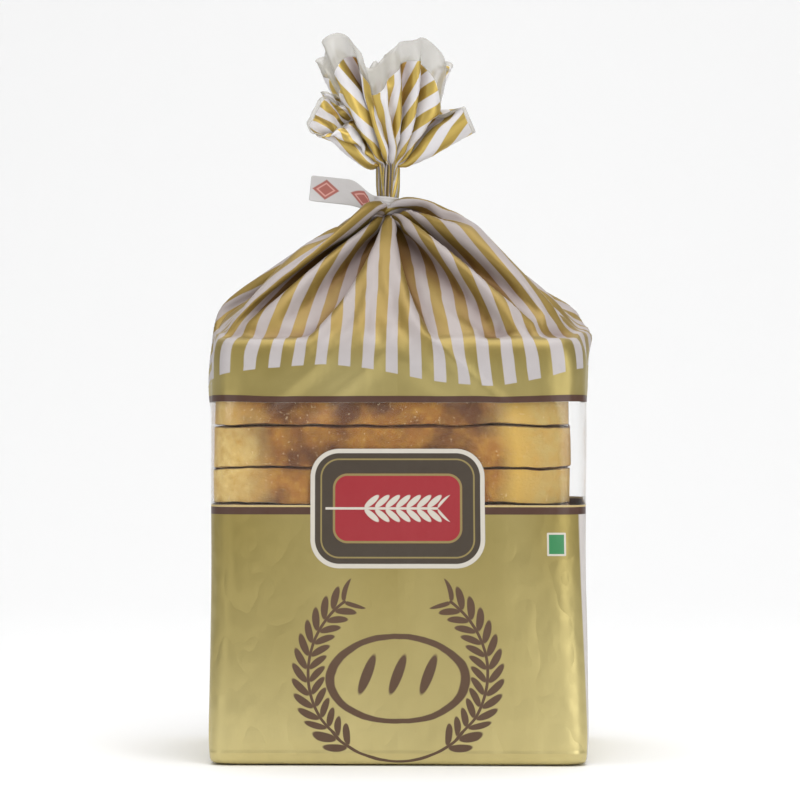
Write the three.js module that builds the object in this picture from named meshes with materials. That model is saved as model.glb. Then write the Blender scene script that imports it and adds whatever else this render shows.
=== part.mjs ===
// A sliced loaf standing on its end in a printed film bag, with the film gathered above
// the loaf, taped at the neck and spread into a ruffled mouth.
// Millimetres, +Z up. The origin is the middle of the flat base, and -Y is the front.
import * as THREE from "three";

const TAU = 2 * Math.PI;

// The filled body of the bag, a rounded box round the stack of slices.
const BODY_WIDTH = 116;
const BODY_DEPTH = 110;
const CORNER_RADIUS = 9;
const LOAF_TOP = 132;
const FOOT_INSET = 2; // the film tucks in under the loaf
const FOOT_HEIGHT = 2.5;

// The shoulders, where the film leaves the loaf and turns in towards the neck.
const SHOULDER_FRONT = 132;
const SHOULDER_SIDE = 139;
const SHOULDER_INSET = 0.8;
const SLOPE_SWELL = 0.13; // air under the slope, as a share of its rise

// The gathered neck.
const NECK_X = -5;
const NECK_RADIUS = 3.6;
const NECK_PLEAT = 0.4;
const NECK_BOTTOM = 176;
const NECK_TOP = 191;

// Pleats run up the slope. They all lap towards the middle of the front or of the back.
const PLEATS_EACH_QUARTER = 5;
const PLEAT_DEPTH = 2.8;
const PLEAT_LEAN = 0.82; // share of a pleat's width that rises before its edge drops
const CORNER_FOLD = 1.9; // how much deeper the folds over the loaf's corners are
const PLEAT_START = 0.06; // how far the pleats have formed at the shoulder

// The mouth above the neck, as flaps. Each has its direction from the front, in degrees
// anticlockwise seen from above, half its spread, its reach from the neck and its height.
const FLAPS = [
  { direction: 3, spread: 36, reach: 10, height: 222 },
  { direction: 71, spread: 30, reach: 28, height: 206 },
  { direction: 135, spread: 26, reach: 21, height: 233 },
  { direction: 182, spread: 18, reach: 12, height: 225 },
  { direction: 226, spread: 26, reach: 26, height: 230 },
  { direction: 288, spread: 28, reach: 25, height: 203 },
];
const VALLEY_REACH = 7;
const FLAP_FULLNESS = 0.5; // the lower, the squarer the flaps' ends
const MOUTH_WALL = 1.1;
const MOUTH_FLOOR = 0.3; // share of the mouth's height at which its hollow ends
const MOUTH_ARCH = 7; // how far the low flaps arch up before their edge droops
const MOUTH_SPREAD = 1.2; // the higher, the later the mouth opens out above the neck

// The closing tape: a strip wound round the neck, its two ends stuck together as a flag.
const TAPE_WIDTH = 8.6;
const TAPE_THICKNESS = 0.7;
const TAPE_BORE = NECK_RADIUS + NECK_PLEAT + 0.9;
const TAPE_FLAG = 20.5;
const TAPE_HEIGHT = 180.5;
const TAPE_TILT = THREE.MathUtils.degToRad(6);

// How finely the film's skin is cut.
const AROUND = 136;
const BODY_RINGS = [0.04, 0.45, 0.86];
const SLOPE_RINGS = 13;
const NECK_RINGS = 3;
const MOUTH_RINGS = 9;

const lerp = THREE.MathUtils.lerp;
const smooth = (x) => THREE.MathUtils.smoothstep(x, 0, 1);

// A draw between 0 and 1 that is the same on every run.
function seededDraw(seed) {
  let state = seed;
  return () => {
    state = (state * 1664525 + 1013904223) % 4294967296;
    return state / 4294967296;
  };
}

// A point of a rounded rectangle, by its share of the way round from the middle of the front.
function roundedRectangle(width, depth, radius, share) {
  const flatX = width / 2 - radius;
  const flatY = depth / 2 - radius;
  const arc = (Math.PI / 2) * radius;
  const quarter = flatX + arc + flatY;
  const turns = Math.floor(share * 4) % 4;
  const odd = turns % 2 === 1;
  // Each quarter runs from the middle of one side to the middle of the next.
  let along = (share * 4 - Math.floor(share * 4)) * quarter;
  const first = odd ? flatY : flatX;
  const second = odd ? flatX : flatY;
  let x, y;
  if (along < first) [x, y] = [along, -(second + radius)];
  else if (along < first + arc) {
    const angle = (along - first) / radius;
    [x, y] = [first + radius * Math.sin(angle), -second - radius * Math.cos(angle)];
  } else [x, y] = [first + radius, -second + (along - first - arc)];
  const angle = (turns * Math.PI) / 2;
  return [
    x * Math.cos(angle) - y * Math.sin(angle),
    x * Math.sin(angle) + y * Math.cos(angle),
  ];
}

// 0 at the middle of the front or back and 1 at the middle of a side.
const sideness = (share) => (1 - Math.cos(TAU * 2 * share)) / 2;

// 1 at a corner and 0 at the middle of the front, back or a side.
const cornerness = (share) => Math.sin(TAU * 2 * share) ** 2;

// The pleats' edges within one quarter, unevenly spaced, as shares of the quarter.
function pleatEdges(seed) {
  const draw = seededDraw(seed);
  const widths = Array.from({ length: PLEATS_EACH_QUARTER }, () => 0.6 + 0.8 * draw());
  const total = widths.reduce((sum, width) => sum + width, 0);
  let at = 0;
  return [0, ...widths.map((width) => (at += width / total))];
}
const QUARTER_EDGES = [11, 23, 37, 53].map(pleatEdges);

// The relief of the pleats, from 0 in a tuck to 1 at a pleat's edge.
function pleatRelief(share) {
  const quarter = Math.floor(share * 4) % 4;
  let along = share * 4 - Math.floor(share * 4);
  // In every second quarter the pleats lap the other way.
  if (quarter % 2 === 0) along = 1 - along;
  const edges = QUARTER_EDGES[quarter];
  const k = edges.findLastIndex((edge, i) => i < PLEATS_EACH_QUARTER && along >= edge);
  const within = (along - edges[k]) / (edges[k + 1] - edges[k]);
  return within < PLEAT_LEAN ? within / PLEAT_LEAN : (1 - within) / (1 - PLEAT_LEAN);
}

// One ring of the skin: a point for each share of the way round.
const ring = (pointAt) =>
  Array.from({ length: AROUND }, (_, i) => pointAt(i / AROUND));

// The body's outline at a height, set in by an inset.
function bodyRing(height, inset) {
  return ring((share) => {
    const width = BODY_WIDTH - 2 * inset;
    const depth = BODY_DEPTH - 2 * inset;
    return [...roundedRectangle(width, depth, CORNER_RADIUS, share), height];
  });
}

// The slope from the shoulder, at 0, to the foot of the neck, at 1.
function slopeRing(climb) {
  const swell = SLOPE_SWELL * Math.sin(Math.PI * climb);
  const depth = PLEAT_DEPTH * Math.sin(Math.PI * Math.min(1, climb + PLEAT_START)) ** 0.8;
  return ring((share) => {
    const shoulder = lerp(SHOULDER_FRONT, SHOULDER_SIDE, smooth(sideness(share)));
    const [edgeX, edgeY] = roundedRectangle(
      BODY_WIDTH - 2 * SHOULDER_INSET,
      BODY_DEPTH - 2 * SHOULDER_INSET,
      CORNER_RADIUS,
      share,
    );
    const [neckX, neckY] = neckPoint(share);
    const fold = depth * (1 + CORNER_FOLD * cornerness(share));
    const relief = fold * (pleatRelief(share) - 0.5);
    const x = lerp(edgeX, neckX, climb);
    const y = lerp(edgeY, neckY, climb);
    const out = Math.hypot(x - NECK_X, y) || 1;
    const height = lerp(shoulder, NECK_BOTTOM, Math.min(1, climb + swell * (1 - climb)));
    return [
      x + ((x - NECK_X) / out) * relief,
      y + (y / out) * relief,
      height + relief * 0.5,
    ];
  });
}

// The neck's outline, finely pleated.
function neckPoint(share) {
  const angle = TAU * share - Math.PI / 2;
  const radius = NECK_RADIUS + NECK_PLEAT * (2 * pleatRelief(share) - 1);
  return [NECK_X + radius * Math.cos(angle), radius * Math.sin(angle)];
}

const neckRing = (height) => ring((share) => [...neckPoint(share), height]);

// The mouth's edge in a direction, in degrees: the flaps, with valleys between them.
function mouthEdge(direction) {
  const after = FLAPS.findIndex((flap) => direction < flap.direction);
  const to = FLAPS[after < 0 ? 0 : after];
  const from = FLAPS.at((after < 0 ? 0 : after) - 1);
  const span = (to.direction - from.direction + 360) % 360;
  const between = ((direction - from.direction + 360) % 360) / span;
  const reaches = [from, to].map((flap) => {
    const turn = Math.abs(((direction - flap.direction + 540) % 360) - 180);
    const full = Math.cos((Math.PI / 2) * Math.min(1, turn / flap.spread)) ** FLAP_FULLNESS;
    return lerp(VALLEY_REACH, flap.reach, full);
  });
  return {
    reach: Math.max(...reaches),
    height: lerp(from.height, to.height, smooth(between)),
  };
}

// A ring of the mouth: climb is 0 at the neck and 1 at the edge; inset moves it inwards.
function mouthRing(climb, inset) {
  const spread = climb ** MOUTH_SPREAD;
  const outline = ring((share) => {
    const edge = mouthEdge(360 * share);
    const angle = TAU * share - Math.PI / 2;
    const [neckX, neckY] = neckPoint(share);
    const x = lerp(neckX, NECK_X + edge.reach * Math.cos(angle), spread);
    const y = lerp(neckY, edge.reach * Math.sin(angle), spread);
    const droop = Math.max(0, 1 - (edge.height - NECK_TOP) / 25);
    const arch = MOUTH_ARCH * droop * Math.sin(Math.PI * climb);
    return [x, y, lerp(NECK_TOP, edge.height, climb) + arch];
  });
  if (!inset) return outline;
  return outline.map(([x, y, z], i) => {
    const before = outline[(i + AROUND - 1) % AROUND];
    const after = outline[(i + 1) % AROUND];
    const along = [after[0] - before[0], after[1] - before[1]];
    const length = Math.hypot(...along) || 1;
    return [x - (along[1] / length) * inset, y + (along[0] / length) * inset, z];
  });
}

// A closed skin over a row of rings, with a middle point that closes each end.
function skin(rings, firstMiddle, lastMiddle) {
  const positions = [firstMiddle, ...rings.flat(), lastMiddle].flat();
  const index = [];
  const at = (row, i) => 1 + row * AROUND + (i % AROUND);
  const lastPoint = 1 + rings.length * AROUND;
  for (let i = 0; i < AROUND; i++) {
    index.push(0, at(0, i + 1), at(0, i));
    for (let row = 0; row + 1 < rings.length; row++) {
      index.push(at(row, i), at(row, i + 1), at(row + 1, i + 1));
      index.push(at(row, i), at(row + 1, i + 1), at(row + 1, i));
    }
    index.push(at(rings.length - 1, i), at(rings.length - 1, i + 1), lastPoint);
  }
  const geometry = new THREE.BufferGeometry();
  geometry.setAttribute("position", new THREE.Float32BufferAttribute(positions, 3));
  geometry.setIndex(index);
  return geometry;
}

const steps = (count, from, to) =>
  Array.from({ length: count }, (_, k) => lerp(from, to, k / (count - 1)));

// The film bag with the loaf inside it: one solid up to the neck, and a hollow mouth.
function bagGeometry() {
  const rings = [
    bodyRing(0, FOOT_INSET),
    bodyRing(FOOT_HEIGHT * 0.3, FOOT_INSET * 0.3),
    ...BODY_RINGS.map((rise) => bodyRing(rise * LOAF_TOP, 0)),
    ...steps(SLOPE_RINGS, 0, 1).slice(0, -1).map(slopeRing),
    ...steps(NECK_RINGS, NECK_BOTTOM, NECK_TOP).map(neckRing),
    ...steps(MOUTH_RINGS, 0, 1).slice(1).map((climb) => mouthRing(climb, 0)),
    ...steps(MOUTH_RINGS - 3, 1, MOUTH_FLOOR).map((climb) => mouthRing(climb, MOUTH_WALL)),
  ];
  const floor = lerp(NECK_TOP, FLAPS[0].height, MOUTH_FLOOR) - 1;
  return skin(rings, [0, 0, 0], [NECK_X, 0, floor]);
}

// The tape, seen from above as a ring with a flag of two layers, and as tall as its width.
function tapeGeometry() {
  const outer = TAPE_BORE + TAPE_THICKNESS;
  const root = Math.asin(TAPE_THICKNESS / outer);
  const outline = new THREE.Shape();
  outline.absarc(0, 0, outer, Math.PI + root, Math.PI - root + TAU, false);
  outline.lineTo(-outer - TAPE_FLAG, TAPE_THICKNESS);
  outline.lineTo(-outer - TAPE_FLAG, -TAPE_THICKNESS);
  outline.closePath();
  const bore = new THREE.Path();
  bore.absarc(0, 0, TAPE_BORE, 0, TAU, true);
  outline.holes.push(bore);
  const geometry = new THREE.ExtrudeGeometry(outline, {
    depth: TAPE_WIDTH,
    bevelEnabled: false,
    curveSegments: 32,
  });
  return geometry.translate(0, 0, -TAPE_WIDTH / 2);
}

function printedFilm() {
  return new THREE.MeshStandardMaterial({ color: 0xb09d5e, roughness: 0.38, metalness: 0.35 });
}

function whiteTape() {
  return new THREE.MeshStandardMaterial({ color: 0xd6d2cf, roughness: 0.45, metalness: 0 });
}

const bag = new THREE.Mesh(bagGeometry(), printedFilm());
bag.name = "bag";

const tape = new THREE.Mesh(tapeGeometry(), whiteTape());
tape.name = "tape";
tape.position.set(NECK_X, 0, TAPE_HEIGHT);
tape.rotation.y = TAPE_TILT;

const loafInBag = new THREE.Group();
loafInBag.add(bag, tape);

export default loafInBag;
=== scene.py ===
# A sliced loaf standing on its end in a printed film bag that is taped at the neck.
# Metres in Blender; the sizes below are in millimetres. The front of the pack faces -Y.
import math

import bpy
import numpy as np
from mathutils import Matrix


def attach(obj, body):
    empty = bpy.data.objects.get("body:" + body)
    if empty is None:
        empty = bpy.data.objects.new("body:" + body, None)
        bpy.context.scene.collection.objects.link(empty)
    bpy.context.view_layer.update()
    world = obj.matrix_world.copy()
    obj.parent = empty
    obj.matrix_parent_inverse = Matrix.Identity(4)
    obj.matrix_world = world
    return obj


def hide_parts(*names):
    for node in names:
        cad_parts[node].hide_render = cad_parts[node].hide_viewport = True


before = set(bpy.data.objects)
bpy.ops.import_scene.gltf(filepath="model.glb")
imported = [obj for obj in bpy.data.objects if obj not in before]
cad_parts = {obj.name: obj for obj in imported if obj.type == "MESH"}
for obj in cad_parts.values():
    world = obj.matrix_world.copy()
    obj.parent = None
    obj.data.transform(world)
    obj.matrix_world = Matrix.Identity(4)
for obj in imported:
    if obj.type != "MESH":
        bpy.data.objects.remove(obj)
bpy.ops.object.select_all(action="DESELECT")
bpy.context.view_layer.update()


# The slices: a square sandwich loaf, cut and stacked as it was baked, brown in the middle of each
# side and pale towards the corners. One slice is modelled and copied. Each copy is turned and
# pushed a little, and takes its lumps from a texture that runs through the whole loaf.
MM = 0.001
SLICE_WIDTH = 111.0
SLICE_DEPTH = 107.6
SLICE_CORNER = 9.5
SLICE_EDGE = 0.2
SLICE_SIDES = 180
SLICE_FOOT = 2.7
LOWER_SLICES = 7
LOWER_THICKNESS = 11.26
UPPER_THICKNESSES = (11.2, 13.2, 13.0, 12.5)
SLICE_GAP = 0.05
LOAF_OFFSET = -2.2
TOP_SLICE_SHARE = 0.984
PATTERN_PITCH = 10.0
CRUST_BANDS = (3.0, 3.1, 3.0)
STRAY_X, STRAY_Y = 0.3, 0.25
STRAY_TURN = 0.35
STRAY_SIZE = 0.003
LUMP_SIZE = 16.0
DENT_SIZE = 5.0


def rounded_rectangle(shares, width, depth, corner):
    """Points round a rounded rectangle, by shares of the way round from the front's middle."""
    half_x, half_y = width / 2 - corner, depth / 2 - corner
    arc = math.pi / 2 * corner
    runs = (half_x, arc, 2 * half_y, arc, 2 * half_x, arc, 2 * half_y, arc, half_x)
    starts = np.concatenate([[0], np.cumsum(runs)])
    middles = ((half_x, -half_y), (half_x, half_y), (-half_x, half_y), (-half_x, -half_y))
    points = []
    for along in np.asarray(shares) * starts[-1]:
        run = min(int(np.searchsorted(starts, along, side="right")) - 1, 8)
        done = along - starts[run]
        if run % 2:
            turn = math.pi / 2 * (run // 2 - 1) + done / corner
            middle = middles[run // 2]
            points.append((middle[0] + corner * math.cos(turn), middle[1] + corner * math.sin(turn)))
        else:
            flat = (
                (done, -depth / 2),
                (width / 2, done - half_y),
                (half_x - done, depth / 2),
                (-width / 2, half_y - done),
                (done - half_x, -depth / 2),
            )
            points.append(flat[run // 2])
    return np.array(points), starts[-1]


def crust_texture(name, size, depth):
    """A soft lumpy texture for the Displace modifier."""
    texture = bpy.data.textures.new(name, "CLOUDS")
    texture.noise_scale = size * MM
    texture.noise_depth = depth
    return texture


def apply_all(piece):
    """Applies a piece's modifiers, in their order."""
    bpy.context.view_layer.objects.active = piece
    for modifier in list(piece.modifiers):
        bpy.ops.object.modifier_apply(modifier=modifier.name)


# The pattern slice is 9.5 mm tall in a pitch of 10 mm, and what is left is the joint.
rim_radius = SLICE_WIDTH / 2 * MM
bpy.ops.mesh.primitive_circle_add(vertices=SLICE_SIDES, radius=rim_radius, fill_type="NGON")
pattern_slice = bpy.context.object
pattern_slice.name = "pattern_slice"
cut_width, cut_depth = SLICE_WIDTH - 2 * SLICE_EDGE, SLICE_DEPTH - 2 * SLICE_EDGE
rim, _ = rounded_rectangle(np.arange(SLICE_SIDES) / SLICE_SIDES, cut_width, cut_depth, SLICE_CORNER)
for vertex, (rim_x, rim_y) in zip(pattern_slice.data.vertices, rim):
    vertex.co = (rim_x * MM, rim_y * MM, -PATTERN_PITCH / 2 * MM)
widen = 1 + 2 * SLICE_EDGE / SLICE_WIDTH
straight_bands = [(band, 1) for band in CRUST_BANDS]
bpy.ops.object.mode_set(mode="EDIT")
bpy.ops.mesh.select_all(action="SELECT")
for lift, grow in ((SLICE_EDGE, widen), *straight_bands, (SLICE_EDGE, 1 / widen)):
    bpy.ops.mesh.extrude_region_move(TRANSFORM_OT_translate={"value": (0, 0, lift * MM)})
    bpy.ops.transform.resize(value=(grow, grow, 1), center_override=(0, 0, 0))
bpy.ops.mesh.select_all(action="SELECT")
bpy.ops.mesh.normals_make_consistent(inside=False)
bpy.ops.object.mode_set(mode="OBJECT")

lumps = crust_texture("crust lumps", LUMP_SIZE, 1)
dents = crust_texture("crust dents", DENT_SIZE, 2)
draw = np.random.default_rng(4)
slices = []
foot = SLICE_FOOT
thicknesses = (LOWER_THICKNESS,) * LOWER_SLICES + UPPER_THICKNESSES
for number, thickness in enumerate(thicknesses, 1):
    cut = pattern_slice.copy()
    cut.data = pattern_slice.data.copy()
    cut.name = f"slice_{number}"
    bpy.context.collection.objects.link(cut)
    shift_x, shift_y, turn, shrink = draw.uniform(-1, 1, 4)
    size = TOP_SLICE_SHARE if number == len(thicknesses) else 1
    size = size * (1 + STRAY_SIZE * shrink)
    cut.scale = (size, size, (thickness - SLICE_GAP) / PATTERN_PITCH)
    cut.rotation_euler = (0, 0, math.radians(STRAY_TURN * turn))
    cut.location = (
        (LOAF_OFFSET + STRAY_X * shift_x) * MM,
        STRAY_Y * shift_y * MM,
        (foot + thickness / 2) * MM,
    )
    foot += thickness
    bpy.ops.object.select_all(action="DESELECT")
    cut.select_set(True)
    bpy.context.view_layer.objects.active = cut
    bpy.ops.object.transform_apply(location=True, rotation=True, scale=True)
    # The textures are the loaf's, so the two sides of a cut are pushed alike and stay close.
    # Each row gives a texture, the direction that it pushes in and by how many millimetres.
    for texture, direction, strength in (
        (lumps, "X", 1.0),
        (lumps, "Y", 1.4),
        (dents, "X", 0.5),
        (dents, "Y", 0.6),
        (lumps, "Z", 1.6),
        (dents, "Z", 0.7),
    ):
        relief = cut.modifiers.new(texture.name, "DISPLACE")
        relief.texture = texture
        relief.texture_coords = "GLOBAL"
        relief.direction = direction
        relief.strength = strength * MM
        relief.mid_level = 0.5
    apply_all(cut)
    bpy.ops.object.shade_smooth_by_angle(angle=math.radians(30))
    slices.append(cut)
bpy.data.objects.remove(pattern_slice)


class Signal:
    """A value that changes over a surface. Arithmetic on it adds Math nodes."""

    def __init__(self, finish, socket):
        self.finish = finish
        self.socket = socket

    def math(self, operation, *values):
        sockets = {number: value for number, value in enumerate(values)}
        return self.finish.node("ShaderNodeMath", {"operation": operation}, sockets)

    def __add__(self, other):
        return self.math("ADD", self, other)

    def __radd__(self, other):
        return self.math("ADD", other, self)

    def __sub__(self, other):
        return self.math("SUBTRACT", self, other)

    def __rsub__(self, other):
        return self.math("SUBTRACT", other, self)

    def __mul__(self, other):
        return self.math("MULTIPLY", self, other)

    def __rmul__(self, other):
        return self.math("MULTIPLY", other, self)

    def __truediv__(self, other):
        return self.math("DIVIDE", self, other)

    def __rtruediv__(self, other):
        return self.math("DIVIDE", other, self)

    def __mod__(self, other):
        return self.math("FLOORED_MODULO", self, other)

    def __pow__(self, other):
        return self.math("POWER", self, other)

    def __abs__(self):
        return self.math("ABSOLUTE", self)

    def root(self):
        return self.math("SQRT", self)

    def cosine(self):
        return self.math("COSINE", self)

    def least(self, other):
        return self.math("MINIMUM", self, other)

    def most(self, other):
        return self.math("MAXIMUM", self, other)

    def above(self, edge, soft=0.1):
        """0 below the edge and 1 above it, over a soft step."""
        low, high = edge - soft, edge + soft
        return self.finish.node(
            "ShaderNodeMapRange", {}, {"Value": self, "From Min": low, "From Max": high}
        )

    def below(self, edge, soft=0.1):
        return 1 - self.above(edge, soft)

    def between(self, low, high, soft=0.1):
        return self.above(low, soft) * self.below(high, soft)


class Finish:
    """A material with one Principled shader, and the nodes that feed it."""

    def __init__(self, name):
        self.material = bpy.data.materials.new(name)
        self.material.use_nodes = True
        self.tree = self.material.node_tree
        self.shader = self.tree.nodes["Principled BSDF"]

    def node(self, kind, settings, sockets, output=0):
        made = self.tree.nodes.new(kind)
        for name, value in settings.items():
            setattr(made, name, value)
        for name, value in sockets.items():
            self.feed(made.inputs[name], value)
        return Signal(self, made.outputs[output])

    def feed(self, socket, value):
        if isinstance(value, Signal):
            self.tree.links.new(value.socket, socket)
        else:
            socket.default_value = value

    def set(self, **sockets):
        for name, value in sockets.items():
            self.feed(self.shader.inputs[name.replace("_", " ")], value)

    def place(self):
        """Object coordinates in millimetres: the whole vector, and then its three parts."""
        point = self.node("ShaderNodeTexCoord", {}, {}, "Object")
        scaled = self.node("ShaderNodeVectorMath", {"operation": "SCALE"}, {0: point, "Scale": 1000})
        return scaled, *self.parts(scaled)

    def parts(self, vector):
        return [self.node("ShaderNodeSeparateXYZ", {}, {0: vector}, k) for k in range(3)]

    def vector(self, x, y, z=0.0):
        return self.node("ShaderNodeCombineXYZ", {}, {0: x, 1: y, 2: z})

    def noise(self, vector, size, detail=2.0, rough=0.5):
        """Noise from 0 to 1 whose features are about a size wide, in the vector's units."""
        sockets = {"Vector": vector, "Scale": 1 / size, "Detail": detail, "Roughness": rough}
        return self.node("ShaderNodeTexNoise", {}, sockets)

    def mix(self, share, low, high, blend="MIX"):
        """A colour between two, or a colour times a tint, by a share from 0 to 1."""
        settings = {"data_type": "RGBA", "blend_type": blend}
        return self.node("ShaderNodeMix", settings, {0: share, 6: low, 7: high}, 2)

    def bump(self, height, distance, strength=1.0):
        """A bumpy normal from a height, whose full step is a distance in millimetres."""
        sockets = {"Height": height, "Distance": distance * MM, "Strength": strength}
        return self.node("ShaderNodeBump", {}, sockets)


def ink(red, green, blue):
    """A colour picked from the screen, as the shader's linear values."""
    linear = [((c / 255 + 0.055) / 1.055) ** 2.4 for c in (red, green, blue)]
    return (*linear, 1.0)


CRUST_MIDDLE = ink(158, 102, 30)
CRUST_DARK = ink(88, 46, 16)
CRUST_GOLDEN = ink(188, 142, 56)
CRUST_PALE = ink(222, 194, 122)
CRUST_TAN = ink(188, 162, 94)
CRUST_YELLOW = ink(214, 174, 80)
CRUMB = ink(228, 206, 164)
BROWN_HALF_WIDTH = 41.0
BROWN_FADE = 7.0
BROWN_SHIFT_X, BROWN_SHIFT_Y = 7.0, 3.0
DRIFT_SIZE, DRIFT_REACH = 26.0, 22.0
RAGGED_SIZE, RAGGED_REACH = 7.0, 8.0
YELLOW_PLACE = 37.0
YELLOW_HALF_WIDTH = 3.5
RIND = 1.6
MOTTLE_SIZE = 3.2
BLOTCH_SIZE = 13.0
SPECK_SIZE = 0.9
JOINT_DARK_SIZE = 11.0

crust = Finish("baked_crust_and_crumb")
place, x, y, _ = crust.place()
sideways = abs(x + BROWN_SHIFT_X).least(abs(y + BROWN_SHIFT_Y))
drift = crust.noise(place, DRIFT_SIZE, 2) * DRIFT_REACH - DRIFT_REACH / 2
drift = drift + crust.noise(place, RAGGED_SIZE, 3) * RAGGED_REACH - RAGGED_REACH / 2
browning = (sideways + drift).below(BROWN_HALF_WIDTH, BROWN_FADE)
mottle = crust.noise(place, MOTTLE_SIZE, 4, 0.62)
blotch = crust.noise(place, BLOTCH_SIZE, 3, 0.55)
brown = crust.mix(mottle.above(0.54, 0.14) * 0.7, CRUST_MIDDLE, CRUST_GOLDEN)
brown = crust.mix(blotch.above(0.52, 0.1) * 0.9, brown, CRUST_DARK)
pale = crust.mix(x.above(0, 30), CRUST_PALE, CRUST_TAN)
pale = crust.mix(mottle.above(0.55, 0.2) * 0.8, pale, CRUST_GOLDEN)
baked = crust.mix(browning, pale, brown)
yellow_band = abs(x + drift * 0.25 - YELLOW_PLACE).below(YELLOW_HALF_WIDTH, 3.5)
baked = crust.mix(yellow_band * 0.75, baked, CRUST_YELLOW)
specks = crust.noise(place, SPECK_SIZE, 2, 0.6)
baked = crust.mix(specks.above(0.68, 0.04) * 0.5, baked, CRUMB)
normal = crust.node("ShaderNodeTexCoord", {}, {}, "Normal")
upright = abs(crust.parts(normal)[2])
# The rind is dark at the joints, partly from its own browned, torn crust and partly as painted shade
# in the groove between slices, and within it the cut faces are white crumb.
browned_and_shaded = crust.noise(place, JOINT_DARK_SIZE, 3, 0.6).above(0.5, 0.12)
baked = crust.mix(upright.above(0.45, 0.1) * (0.3 + browned_and_shaded * 0.6), baked, CRUST_DARK)
inside = abs(x - LOAF_OFFSET).below(SLICE_WIDTH / 2 - RIND, 0.4)
inside = inside * abs(y).below(SLICE_DEPTH / 2 - RIND, 0.4)
baked = crust.mix(upright.above(0.93, 0.03) * inside, baked, CRUMB)
crust.set(Base_Color=baked, Roughness=0.62 + mottle * 0.2)
crust.set(Normal=crust.bump(mottle * 0.6 + specks * 0.25 + blotch * 0.5, 1.0, 0.9))
for cut in slices:
    cut.data.materials.clear()
    cut.data.materials.append(crust.material)
    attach(cut, "root")
    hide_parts("bag")


# The bag: one sleeve of thin clear film, printed in gold, white and brown. Its end is folded
# flat under the loaf, and above the loaf the film is gathered by hand and spread into a mouth.
# The sleeve is laid out straight and Blender's cloth draws it in to the neck.
BODY_WIDTH = 117.2
BODY_DEPTH = 110.6
BODY_CORNER = 9.5
FOOT_CORNER = 4.0
LOAF_TOP = 132.0
FOLD_FIN = 9.0
FIN_ROOT = 1.2
FIN_LIFT, FIN_TILT = 0.7, 0.35
GUSSET_INSET = 1.0
GUSSET_RISE = 1.1
END_LIFT, END_LAP = 0.4, 0.8
END_SHARE = 0.985
END_ROWS = (0.04, 0.35, 0.7, 0.95)
FOOT_ROWS = (0.9, 3, 6)
FOOT_SPREAD = 1.2
FOOT_TURN_IN, FOOT_TURN_HEIGHT = 1.6, 9
PLAIN_FROM = 10
# Each ripple of the sides: its waves round the bag, its slant and how far it swings.
RIPPLES = ((3, 0.8, 0.40), (8, -0.6, 0.30), (17, 0.9, 0.14))
PINNED_HEIGHT = 104.0
NECK_FILM = 17.0
NECK_X = -4.8
NECK_Z = 173.0
COLUMNS = 160
BODY_ROWS = 13
SIDE_ROWS = 10
SLOPE_ROWS = 28
NECK_ROWS = 6
MOUTH_ROWS = 13
CLOTH_SCALE = 10.0
CLOTH_FRAMES = 50
GATHER_FRAMES = 35

# The mouth's edge, going round from the middle of the front towards +X: the share of the way
# round, the place from the neck's middle, the height, and the film left above the neck there.
MOUTH_EDGE = (
    (0.000, -6, -14, 220, 36),
    (0.030, 4, -15, 231, 45),
    (0.055, 12, -13, 239, 53),
    (0.085, 20, -7, 229, 48),
    (0.110, 20, -1, 208, 32),
    (0.135, 12, 2, 203, 26),
    (0.165, 28, -9, 210, 36),
    (0.190, 32, -3, 202, 37),
    (0.215, 25, 6, 204, 34),
    (0.245, 9, 4, 207, 30),
    (0.285, 18, 17, 225, 43),
    (0.320, 22, 21, 230, 47),
    (0.360, 8, 12, 214, 33),
    (0.400, 8, 22, 230, 47),
    (0.450, -4, 24, 232, 48),
    (0.500, -10, 14, 216, 35),
    (0.550, -18, 20, 232, 49),
    (0.590, -26, 13, 228, 48),
    (0.630, -12, 4, 210, 31),
    (0.680, -22, 6, 216, 37),
    (0.720, -10, -1, 206, 28),
    (0.760, -22, -6, 212, 37),
    (0.800, -28, -12, 199, 36),
    (0.835, -15, -8, 200, 29),
    (0.865, -8, -4, 207, 28),
    (0.900, -14, -9, 214, 35),
    (0.930, -24, -13, 226, 46),
    (0.955, -20, -14, 236, 52),
    (0.980, -11, -14, 230, 46),
)


def smooth_round(values, passes):
    """Values round the bag, evened out between neighbours."""
    for _ in range(passes):
        values = 0.25 * np.roll(values, 1, 0) + 0.5 * values + 0.25 * np.roll(values, -1, 0)
    return values


share = np.arange(COLUMNS) / COLUMNS
outline, girth = rounded_rectangle(share, BODY_WIDTH, BODY_DEPTH, BODY_CORNER)

# The folded end: the side panels are tucked in as gussets, and the seam is a fin folded flat.
seam_run = np.minimum(share, 1 - share) * girth
seam_run = np.minimum(seam_run, girth / 2 - seam_run)
tucked = BODY_WIDTH / 2 - GUSSET_INSET
seam_x = np.where(share < 0.5, 1, -1) * np.minimum(seam_run, 2 * tucked - seam_run)
side = outline[:, 1] / (BODY_DEPTH / 2)
rows, film_heights = [], []
for fin in (FOLD_FIN, FOLD_FIN / 2, FIN_ROOT):
    rows.append(np.stack([seam_x, np.full(COLUMNS, fin), FIN_LIFT + FIN_TILT * side], 1))
    film_heights.append(-BODY_DEPTH / 2 - fin)
for reach in END_ROWS:
    tuck = GUSSET_RISE * (1 - np.abs(side)) * min(1, 4 * (1 - reach))
    lap_height = END_LIFT + END_LAP * (side > 0) * (1 - reach)
    under = outline * reach
    under[:, 0] = outline[:, 0] * END_SHARE * reach + seam_x * (1 - reach)
    rows.append(np.column_stack([under, lap_height + tuck]))
    film_heights.append(-BODY_DEPTH / 2 * (1 - reach))

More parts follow.
